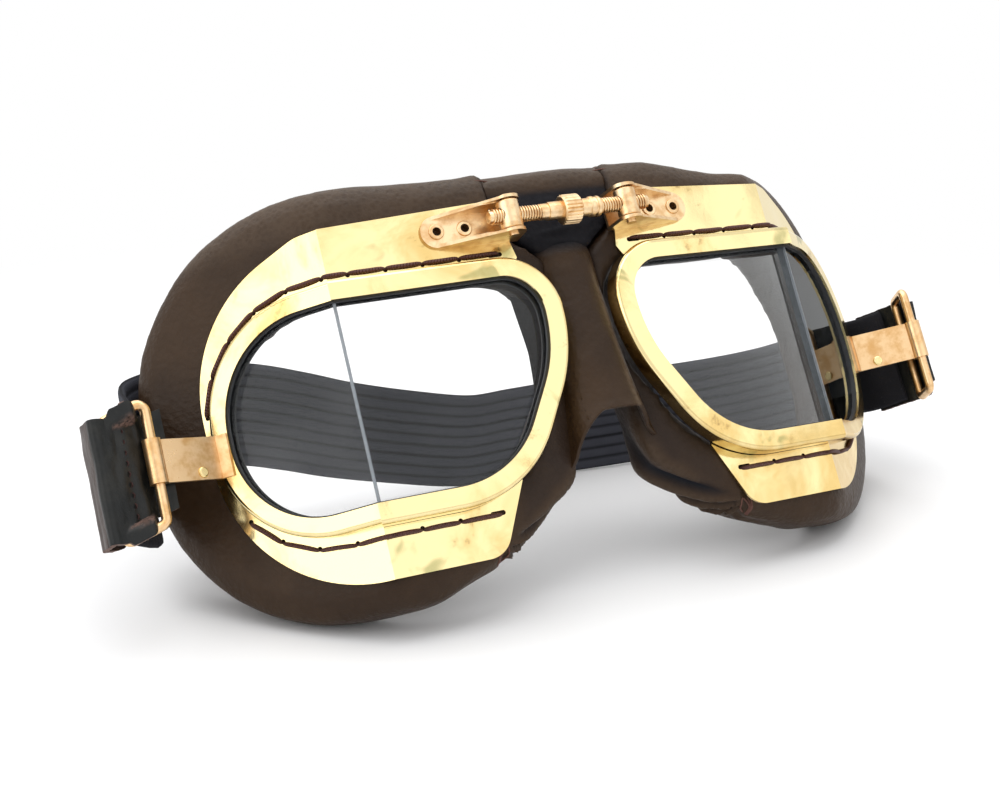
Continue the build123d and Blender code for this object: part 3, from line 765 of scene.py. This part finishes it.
for side in sides:
    pad = copy_of("mask_pad_" + side, "leather_roll_" + side)
    finish_with(pad, "REMESH", mode="VOXEL", voxel_size=pad_voxel * MM, adaptivity=0.0)
    across, deep, up = laid_flat(side, places_of(pad)).T
    laced = np.maximum(1 - ramp(deep - pad_front, *pad_held),
                       (1 - ramp(across, *wall_held)) * ramp(up, *wall_top))
    stuff(pad, laced, pad_pressure, pad_reach)
    finish_with(pad, "SUBSURF", levels=1, render_levels=1)
    places = places_of(pad)
    across, deep, up = laid_flat(side, places).T
    behind = deep - pad_front
    free = ramp(behind, *pad_loose)
    bumps = sum(rumple(places, size, seed) * rise for size, seed, rise in pad_bumps)
    outside = ramp(up, *roll_top)
    gather = np.exp(-np.maximum(across - pad_seam[0], 0) / gather_reach) * outside
    pinch = hill(across, pad_seam[0], pinch_width) * outside
    ridges = np.sin(deep * 2.1 + rumple(places, 5, 3.0) * 2.2)
    from_toe = np.hypot(across - toe_seam[0], up - toe_seam[1])
    flank = ramp(toe_seam[0] - across, *flank_across) * (1 - ramp(up, *flank_up)) * free
    fan = np.arctan2(behind, from_toe)
    from_tack = np.hypot(behind, from_toe)
    wander = rumple(places, 9, 5.0) * 0.10
    troughs = sum(hill(fan + wander, turn, trough_width) for turn in trough_turns)
    crests = sum(hill(fan + wander, turn, crest_width) for turn in crest_turns)
    folds = (crests * 0.9 - troughs) * hill(from_tack, *fold_reach) * flank
    tack = hill(across, toe_seam[0], tack_width) * (1 - ramp(up, *tack_up)) * (1 - ramp(deep, *tack_deep))
    below = hill(across, toe_seam[0], below_width) * (1 - ramp(up, *below_up)) * free
    raise_skin(pad, (bumps + pad_swell) * free + ridges * gather * gather_height * free
               - pinch * pinch_depth * free + folds * fold_height - tack * tack_depth
               + np.sin(deep * 1.7) * below * 0.25)
    # Painted shade on the inner side by the nose, in the troughs of the folds and in the pinch at the seam;
    # painted highlight, with rub wear, along the top of the roll and on the crests of the folds.
    inner = (1 - ramp(up, *inner_up)) * (1 - ramp(across, *inner_across))
    paint(pad, "dusk", np.maximum(inner * 0.35 - folds * 0.9, pinch * 0.5))
    paint(pad, "rubbed", outside * hill(deep, 14, 7) * 0.9 + np.maximum(folds, 0) * 0.4)
    smooth(pad, 60)
    pad.data.materials.append(leather.material)
    seam_top = on_eye(side, pad_seam[0], 14, pad_seam[1])
    on_eye(side, 7, 14, 3)
    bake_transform(pad)
    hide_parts("mask_pad_" + side)


# A padded brow of the same leather runs between the two top seams. The thin web below it, under
# the adjuster, is painted almost black as shade. It is one skin, shaped whole and then cut in the middle.
brow_voxel = 1.3
brow_bumps = ((15, 2.0, 0.35), (5, 4.0, 0.12))
brow_fall = 1.1
brow_end_fall = 0.3
brow_fall_across = (5, 15)
brow_fall_up = (2, 12)
brow_reach = 1.5
brow_reach_across = (10, 16)
brow_reach_up = (2, 7)
brow_held_up = (3, 8)
brow_held_gap = (0.3, 2.5)
brow_top = (7, 10)
brow_web = (6.5, 8.5)
brow_edge = 1.3
brow_seam = 1.1
brow_pressure = 4.0
brow_swell_reach = 1.4

brow = copy_of("brow_leather", "brow_roll")
finish_with(brow, "REMESH", mode="VOXEL", voxel_size=brow_voxel * MM, adaptivity=0.0)
across, deep, up = carried(worn.inverted(), places_of(brow)).T
fall = (brow_fall + brow_end_fall * ramp(np.abs(across), *brow_fall_across)) * ramp(up, *brow_fall_up)
up = up - fall
reach = brow_reach * ramp(np.abs(across), *brow_reach_across) * ramp(up, *brow_reach_up)
across = across + np.sign(across) * reach
move_to(brow, carried(worn, np.column_stack([across, deep, up])))
seam_gap = hinge_offset + brow_edge + brow_reach - np.abs(across)
laced = np.maximum(1 - ramp(up, *brow_held_up), 1 - ramp(seam_gap, *brow_held_gap))
stuff(brow, laced, brow_pressure, brow_swell_reach)
finish_with(brow, "SUBSURF", levels=1, render_levels=1)
places = places_of(brow)
across, deep, up = carried(worn.inverted(), places).T
seam_gap = hinge_offset + brow_seam + brow_reach - np.abs(across)
top = ramp(up, *brow_top)
web = 1 - ramp(up, *brow_web)
ridges = np.sin(deep * 1.9 + rumple(places, 5, 6.0) * 2.5) * np.exp(-np.maximum(seam_gap, 0) / 4.0) * top
wrinkle = hill(up, -2.2 + 0.125 * across, 0.7) * 0.45 + hill(up, -5.0 - 0.12 * across, 0.6) * 0.4
wrinkle *= hill(across, -1, 7) * (1 - ramp(deep, 9, 12))
bumps = sum(rumple(places, size, seed) * rise for size, seed, rise in brow_bumps)
raise_skin(brow, bumps + ridges * 0.3 - hill(seam_gap, 0.2, 1.0) * 0.5 * top + wrinkle)
# Painted shade on the web under the adjuster and in the grooves at the seams; painted highlight, with rub
# wear, along the top of the roll.
paint(brow, "dusk", web * (0.95 - 0.35 * ramp(-up, 5, 10)) + hill(seam_gap, 0.2, 0.9) * 0.5)
paint(brow, "rubbed", top * hill(deep, 14, 6) * 0.9)
middle = adjuster_middle.x
for side, low, high, reach in (("left", None, middle, -hinge_offset), ("right", middle, None, hinge_offset)):
    half = cut_between(brow, "brow_roll_" + side, low, high)
    half.data.materials.append(leather.material)
    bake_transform(half)
    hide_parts("brow_leather")
bpy.data.objects.remove(brow)


# Below the web a roof of thin leather is folded over the nose. It is smooth and round, its
# lower edge is turned up in an arch, and its sides are sewn to the walls of the two rolls.
saddle_top = -5.0
saddle_arch = -46.5
saddle_leg = -58.5
saddle_rows = 46
saddle_columns = 64
saddle_skin = 0.9
saddle_rise = 5.4
saddle_flank_depth = 9.0
saddle_roof_share = 0.6
saddle_levels = (-60, -47, -28, -9, -5)
saddle_halves = (10.6, 8.7, 6.6, 6.9, 8.2)
saddle_crests = (1.4, 1.8, 2.9, 5.2, 8.2)
saddle_cut = 7.0
saddle_reach = 12.0
saddle_left_flare = 3.5
saddle_right_flare = 10.5
saddle_left_leg = 0.12
saddle_right_leg = 0.34
shoulder_levels = (-50, -28, -9)
shoulder_places = (6.6, 4.9, 4.7)

saddle = grid("saddle", saddle_columns, saddle_rows)
shares = places_of(saddle)
along = (1 - shares[:, 1]) / 2
bent = shares[:, 0]
leg = np.where(bent < 0, np.abs(bent) - saddle_left_leg, (bent - saddle_right_leg) * 1.15) / 0.6
foot = saddle_arch + (saddle_leg - saddle_arch) * np.clip(leg, 0, 1) ** 1.3
level = saddle_top + (foot - saddle_top) * along
half = np.interp(level, saddle_levels, saddle_halves)
crest = np.interp(level, saddle_levels, saddle_crests)
roof = np.clip(np.abs(bent) / saddle_roof_share, 0, 1) * math.pi / 2
flank = np.clip((np.abs(bent) - saddle_roof_share) / (1 - saddle_roof_share), 0, 1)
flare = np.where(bent < 0, saddle_left_flare, saddle_right_flare)
wide = np.sign(bent) * (half * np.sin(roof) ** 0.9 + flank * flare)
deep = crest + saddle_rise * (1 - np.cos(roof)) ** 1.1 + flank * saddle_flank_depth
deep -= hill(along, 1.0, 0.03) * 0.35
skin_noise = waver(wide * 0.12, deep * 0.12, level * 0.10)
fold = hill(level + 0.2 * wide, -9.0, 1.2) * 0.5 + hill(level - 0.15 * wide, -12.0, 0.9) * 0.3
deep -= skin_noise * 0.5 + fold * (1 - roof)
move_to(saddle, np.column_stack([wide, deep, level]))
saddle.data.transform(worn)
finish_with(saddle, "SOLIDIFY", thickness=saddle_skin * MM, offset=0)
edit(saddle, (bpy.ops.mesh.normals_make_consistent, dict(inside=False)))
finish_with(saddle, "BEVEL", width=0.25 * MM, segments=2, angle_limit=math.radians(60))
finish_with(saddle, "SUBSURF", levels=1, render_levels=1)
across, deep, up = carried(worn.inverted(), places_of(saddle)).T
# Painted shade at the top, under the web, and on the flanks going back; painted highlight, with rub wear,
# along the right shoulder.
paint(saddle, "dusk", ramp(up, -10, -5) * 0.95 + ramp(deep, 8, 13) * 0.75)
shoulder = np.interp(up, shoulder_levels, shoulder_places)
paint(saddle, "rubbed", hill(across, shoulder, 0.8) * (1 - ramp(deep, 6, 9)) * ramp(-up, 10, 16))
left_cut, right_cut = middle - saddle_cut * MM, middle + saddle_cut * MM
left_end, right_end = middle - saddle_reach * MM, middle + saddle_reach * MM
for name, low, high, bodies, start, end in (
        ("saddle_roof_left", left_cut, middle, ("bridge", "nut_left"), middle, left_cut),
        ("saddle_roof_right", middle, right_cut, ("bridge", "nut_right"), middle, right_cut),
        ("saddle_flank_left", None, left_cut, ("nut_left", "eye_left"), left_cut, left_end),
        ("saddle_flank_right", right_cut, None, ("nut_right", "eye_right"), right_cut, right_end)):
    strip = cut_between(saddle, name, low, high)
    strip.data.materials.append(leather.material)
    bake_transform(strip)
    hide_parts("nose_saddle")
bpy.data.objects.remove(saddle)


# The seams are drawn tight with red brown thread: a row of short stitches over the roll at each
# top seam, and a bar of a few turns at each seam under the nose corner.
top_stitches = 7
top_stitch_start = math.radians(-40)
top_stitch_step = math.radians(24)
top_stitch_middle = (13.6, 6.6)
top_stitch_radius = 6.6
top_stitch_places = ((-1.6, 0.2, -0.1), (-0.7, 0, 0.15), (0.9, 0, 0.15), (1.8, -0.2, -0.1))
toe_stitches = 4
toe_stitch_pitch = 0.55
toe_stitch_start = 1.2
stitch_radius = 0.16
toe_stitch_radius = 0.2
toe_stitch_places = ((0, 7.6, -71.2, -0.1), (0.1, 7.8, -73.6, 0.15), (0.2, 9.4, -74.8, 0.15),
                     (0.3, 11.5, -74.9, -0.1))

sewing = Finish("sewing_thread")
sewing.set(Base_Color=sewing.mix(sewing.noise(700, 2), (0.075, 0.022, 0.013), (0.13, 0.048, 0.030)),
           Roughness=0.6)


def on_skin(piece, place, lift):
    """The nearest place on a leather piece, lifted a little off it."""
    _, near, normal, _ = piece.closest_point_on_mesh(place)
    return near + normal * lift * MM


for side in sides:
    stitches = []
    pad, brow_half = (bpy.data.objects[name + side] for name in ("leather_roll_", "brow_roll_"))
    for step in range(top_stitches):
        turn = top_stitch_start + step * top_stitch_step
        deep = top_stitch_middle[0] + top_stitch_radius * math.sin(turn)
        up = top_stitch_middle[1] + top_stitch_radius * math.cos(turn)
        ends = [on_skin(pad if shift > 0 else brow_half,
                        on_eye(side, pad_seam[0] + shift, deep + lean, up), rise)
                for shift, lean, rise in top_stitch_places]
        stitches.append(thread("stitch", ends, stitch_radius * MM, 3))
    for step in range(toe_stitches):
        across = toe_seam[0] - toe_stitch_start + step * toe_stitch_pitch
        ends = [on_skin(pad, on_eye(side, across + lean, deep, up), rise)
                for lean, deep, up, rise in toe_stitch_places]
        stitches.append(thread("stitch", ends, toe_stitch_radius * MM, 3))
    seam = join(stitches, "seam_stitches_" + side, sewing)
    smooth(seam, 60)
    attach(seam, "eye_" + side)


# Woven elastic, nine soft ribs wide and plain at its two ends, each sewn into a leather tab. It
# leaves the wearer's right tab high, comes down behind the frames and stands on its edge.
strap_left_route = [(-4.1, 37.1, 12.5, 0.0), (-21.4, 36.9, 16.4, 0.0), (-38.3, 36.4, 21.3, 1.6),
                    (-50.4, 36.0, 25.6, 3.2), (-62.6, 35.1, 29.5, 6.5), (-75.7, 33.2, 32.0, 11.3),
                    (-86.9, 28.5, 32.6, 16.1), (-93.4, 20.7, 32.0, 24.2), (-96.8, -3.8, 30.9, 32.3),
                    (-102.5, -9.5, 34.5, 32.3)]
strap_right_route = [(9.9, 37.1, 12.5, 0.0), (28.1, 35.6, 12.5, 11.3), (51.5, 34.7, 12.5, 16.1),
                     (70.2, 34.5, 12.5, 16.1), (84.2, 34.1, 13.1, 16.1), (93.1, 30.6, 15.4, 17.8),
                     (99.2, 20.7, 21.3, 24.2), (100.0, 5.8, 27.7, 32.3), (103.6, -1.0, 32.0, 32.3)]
strap_width = 25.0
strap_core = 0.50
strap_rib = 0.45
rib_count = 9
strap_columns = 200
strap_rows = 120
strap_start_plain = (16, 20)
strap_end_plain = (30, 34)
strap_wave = 0.5
strap_ease = (8, 30)
table_gap = 0.02
back_cut = 0.045
side_cut = 0.080

elastic = Finish("ribbed_elastic")
cloth_map = elastic.node("ShaderNodeUVMap", {}, {})
weft = (elastic.axis("X", cloth_map) * math.tau * 620).sine()
warp = (elastic.axis("Y", cloth_map) * math.tau * 108).sine()
fluff = elastic.noise(1500, 3, 0.7)
fade = elastic.noise(26, 3)
ribs = elastic.painted("rib")
colour = elastic.mix(fade.between(0.35, 0.7), (0.040, 0.042, 0.055), (0.056, 0.058, 0.072))
# Painted shade: darker where the painted rib height is low, in the grooves between the ribs and along the
# plain ends.
colour = elastic.mix((1 - ribs).between(0.15, 0.75) * 0.9, colour, (0.010, 0.010, 0.013))
colour = elastic.mix(fluff.between(0.62, 0.75) * 0.25, colour, (0.09, 0.085, 0.09))
elastic.set(Base_Color=colour, Roughness=0.85, Specular_IOR_Level=0.25,
            Normal=elastic.bump(weft * 0.25 + warp * 0.2 + fluff * 0.6, 0.00010, 0.6))

route = np.array(strap_left_route[::-1] + strap_right_route)
runs = np.concatenate([[0], np.cumsum(np.linalg.norm(np.diff(route[:, :3], axis=0), axis=1))])


def along_route(distance):
    """The strap's middle line: a smooth curve through its stations."""
    index = int(np.clip(np.searchsorted(runs, distance) - 1, 0, len(runs) - 2))
    share = (distance - runs[index]) / (runs[index + 1] - runs[index])
    before, first, second, after = (route[np.clip(index + step, 0, len(route) - 1)] for step in (-1, 0, 1, 2))
    swing = 2 * before - 5 * first + 4 * second - after
    twirl = 3 * first - before - 3 * second + after
    return 0.5 * (2 * first + (second - before) * share + swing * share ** 2 + twirl * share ** 3)


strap = grid("strap", strap_columns, strap_rows)
shares = places_of(strap)
distances = (shares[:, 0] + 1) / 2 * runs[-1]
round_share = shares[:, 1] + 1
face = np.where(round_share <= 1, 1.0, -1.0)
width_share = np.where(round_share <= 1, round_share, 2 - round_share)
plain_end = ramp(distances, *strap_start_plain) * ramp(runs[-1] - distances, *strap_end_plain)
rib_phase = np.abs(np.sin(np.pi * width_share * rib_count)) ** 0.6
edge_round = np.sqrt(np.clip(1 - (np.abs(width_share - 0.5) * 2) ** 14, 0, 1))
thick = (strap_core + strap_rib * (rib_phase * plain_end + 0.7 * (1 - plain_end))) * edge_round
unique = {value: along_route(value) for value in np.unique(np.round(distances, 6))}
steps = np.array(sorted(unique))
line = np.array([unique[value] for value in steps])
tangents = np.gradient(line[:, :3], steps, axis=0)
tangents /= np.linalg.norm(tangents, axis=1, keepdims=True)
leans = np.radians(line[:, 3])
ups = np.column_stack([np.zeros(len(line)), np.sin(leans), np.cos(leans)])
ups -= tangents * np.sum(ups * tangents, axis=1, keepdims=True)
ups /= np.linalg.norm(ups, axis=1, keepdims=True)
outs = np.cross(tangents, ups)
pick = np.searchsorted(steps, np.round(distances, 6))
wave = waver(distances * 0.03, width_share * 1.5, 7) * strap_wave
end_ease = ramp(distances, *strap_ease) * ramp(runs[-1] - distances, *strap_ease)
placed = (line[pick, :3] + ups[pick] * ((width_share - 0.5) * strap_width)[:, None]
          + outs[pick] * (face * thick + wave * end_ease)[:, None])
placed[:, 2] = np.maximum(placed[:, 2], table_gap)
move_to(strap, placed * MM)
paint(strap, "rib", rib_phase * plain_end)
edit(strap, (bpy.ops.mesh.remove_doubles, dict(threshold=0.00002)),
     (bpy.ops.mesh.fill_holes, dict(sides=0)), (bpy.ops.mesh.normals_make_consistent, dict(inside=False)))
for name, low, high, bodies, start, end in (
        ("strap_back_left", -back_cut, middle, ("bridge", "nut_left"), (middle, 0, 0), (-back_cut, 0, 0)),
        ("strap_side_left", -side_cut, -back_cut, ("nut_left", "eye_left"),
         (-back_cut, 0, 0), (-side_cut, 0, 0)),
        ("strap_end_left", None, -side_cut, ("eye_left", "loop_left"),
         (-side_cut, 0.033, 0.032), (-0.0975, -0.004, 0.032)),
        ("strap_back_right", middle, back_cut, ("bridge", "nut_right"), (middle, 0, 0), (back_cut, 0, 0)),
        ("strap_side_right", back_cut, side_cut, ("nut_right", "eye_right"),
         (back_cut, 0, 0), (side_cut, 0, 0)),
        ("strap_end_right", side_cut, None, ("eye_right", "loop_right"),
         (0.085, 0.034, 0.013), (0.100, 0.006, 0.027))):
    length = cut_between(strap, name, low, high)
    length.data.materials.append(elastic.material)
    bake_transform(length)
    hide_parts("elastic_strap")
bpy.data.objects.remove(strap)


# A strip of black leather is sewn to each end of the strap and laid over the outer bar of its
# loop. The left one is folded round the bar and its end is tucked behind the inner bar. Handling
# has polished and creased both, and the cut edges show raw brown fibre.
loop_centre = {"left": (99.1127, 18.0169, -38.8, 4.0), "right": (99.1127, 18.0169, -38.8, 68.0)}
loop_width = 9.2
loop_droop = {"left": 3.0, "right": 0.6}
tab_path = {"left": ((2.6, 12.9, 0), (13.3, 2.6, 1.8), (11.6, -3.9, 0.9), (0.0, 3.25, 3.0), (-3.4, 4.6, 0)),
            "right": ((19.7, 8.0, 0), (10.4, -1.98, 1.5), (2.8, -1.98, 0))}
tab_columns = 130
tab_rows = 50
tab_skin = 1.4
tab_half_height = 13.1
tab_shoulder_height = 14.3
tab_tucked_height = 10.8
tab_front = (11.6, -3.9)
tab_front_faces = (0.5275, 0.85)
tab_ragged = 0.15
tab_crease = 0.28
tab_warp = 0.35
tab_over_bars = (7.4, 8.6)
wire_level = (10.0, 11.5)
wire_reach = (1.9, 3.4)
wire_front = -2.2
strap_hold = 12
tab_rise = {"left": 4.5, "right": 0.0}
tab_seed = {"left": 3.0, "right": 11.0}
tab_fold = {"left": (2.2, 3.4), "right": (4, 8)}
tab_seam = {"left": (2, 3, 6.5), "right": (1, 2, 3.0)}
seam_stitches = 9
seam_pitch = 2.25
seam_bottom = -9.4
seam_places = ((-0.3, 0), (0.30, 0.25), (0.32, 0.9), (-0.3, 1.15))
seam_thread = 0.17

black = Finish("black_leather")
wear = black.noise(160, 4, 0.65)
fibres = black.noise(1500, 3, 0.65)
cut_edge = black.painted("cut_edge")
suede = black.painted("suede")
colour = black.mix(wear.between(0.4, 0.7), (0.006, 0.007, 0.007), (0.016, 0.016, 0.014))
colour = black.mix(suede * 0.9, colour, (0.040, 0.022, 0.016))
colour = black.mix(cut_edge * fibres.between(0.3, 0.6), colour, (0.16, 0.095, 0.075))
black.set(Base_Color=colour, Roughness=wear * 0.3 + cut_edge * 0.3 + 0.22, Specular_IOR_Level=0.3,
          Normal=black.bump(fibres, 0.00012, 0.6, black.bump(black.noise(300, 3), 0.0004, 0.35)))


def rounded(corners):
    """A flat line through (x, y, cut) corners, each rounded off by its cut."""
    line = []
    for index, (x, y, cut) in enumerate(corners):
        corner = Vector((x, y))
        if not cut:
            line.append(corner)
            continue
        before, after = (corner.lerp(beside, cut / (corner - beside).length)
                         for beside in (Vector(corners[index + step][:2]) for step in (-1, 1)))
        line += [before.lerp(corner, step / 8).lerp(corner.lerp(after, step / 8), step / 8)
                 for step in range(9)]
    return np.array(line)


def spots_on(line, lengths, run):
    """The places at these distances along a flat line."""
    return np.column_stack([np.interp(run, lengths, line[:, axis]) for axis in (0, 1)])


for side in sides:
    tab = grid("folded_tab_" + side, tab_columns, tab_rows)
    shares = places_of(tab)
    line = rounded(tab_path[side])
    lengths = np.concatenate([[0], np.cumsum(np.linalg.norm(np.diff(line, axis=0), axis=1))])
    run = (shares[:, 0] + 1) / 2 * lengths[-1]
    x, y = spots_on(line, lengths, run).T
    tangent = spots_on(line, lengths, run + 0.2) - spots_on(line, lengths, run - 0.2)
    tangent /= np.linalg.norm(tangent, axis=1, keepdims=True)
    level = shares[:, 1]
    seed = tab_seed[side]
    ragged = waver(run * 0.6, np.sign(level), seed + 9)
    tucked = 1 - ramp(x, *tab_fold[side])
    on_front = run > lengths[-1] * 0.5
    over_bars = (1 - ramp(x, *tab_over_bars)) * on_front * (side == "left")
    half_height = tab_half_height + (tab_shoulder_height - tab_half_height) * over_bars + ragged * tab_ragged
    half_height += (tab_tucked_height - half_height) * tucked * on_front
    z = level * half_height
    bulge = (waver(run * 0.45, level * 2.0, seed) * tab_crease
             + waver(run * 0.15, level * 1.2, seed + 5) * tab_warp)
    x, y = x + tangent[:, 1] * bulge, y - tangent[:, 0] * bulge
    over_wire = ramp(np.abs(z), *wire_level) * ramp(x, *wire_reach) * on_front * (side == "left")
    y = y * (1 - over_wire) + np.minimum(y, wire_front) * over_wire
    back = 1 - np.clip(run / strap_hold, 0, 1)
    z += tab_rise[side] * back ** 1.5 - loop_droop[side] * np.clip(x / loop_width, -0.4, 1)
    move_to(tab, np.column_stack([x, y, z]))
    edit(tab, (bpy.ops.mesh.normals_make_consistent, dict(inside=False)))
    finish_with(tab, "SOLIDIFY", thickness=tab_skin, offset=0)
    finish_with(tab, "BEVEL", width=0.3, segments=2, angle_limit=math.radians(60))
    edit(tab, (bpy.ops.mesh.normals_make_consistent, dict(inside=False)))
    drawn = places_of(tab)
    upright = np.abs(normals_of(tab)[:, 2])
    paint(tab, "cut_edge", ramp(upright, 0.35, 0.7))
    behind = ((drawn[:, 0] - tab_front[0]) * tab_front_faces[0]
              + (drawn[:, 1] - tab_front[1]) * tab_front_faces[1])
    paint(tab, "suede", ramp(behind, 1.2, 1.8) * (side == "left"))
    loop_x, loop_y, loop_z, loop_swing = loop_centre[side]
    place = (worn_side[side] @ Matrix.Translation((loop_x, loop_y, loop_z))
             @ Matrix.Rotation(math.radians(loop_swing), 4, "Z"))
    settle(tab, place)
    smooth(tab, 50)
    tab.data.materials.append(black.material)
    stitches = []
    first, last, seam_reach = tab_seam[side]
    start, end = (Vector(tab_path[side][corner][:2]) for corner in (first, last))
    along = (end - start).normalized()
    outward = Vector((along.y, -along.x))
    outward = outward if outward.y < 0 else -outward
    spot = start + along * seam_reach
    for row in range(seam_stitches):
        level = seam_bottom + row * seam_pitch - loop_droop[side] * spot.x / loop_width
        spots = []
        for sink, rise in seam_places:
            beyond = spot + outward * (tab_skin / 2 + sink)
            spots.append(place @ Vector((beyond.x, beyond.y, level + rise)))
        stitches.append(thread("stitch", spots, seam_thread * MM, 3))
    sewn = join(stitches, "tab_stitches_" + side, waxed)
    smooth(sewn, 60)
    for piece in (tab, sewn):
        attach(piece, "loop_" + side)
    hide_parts("leather_tab_" + side)
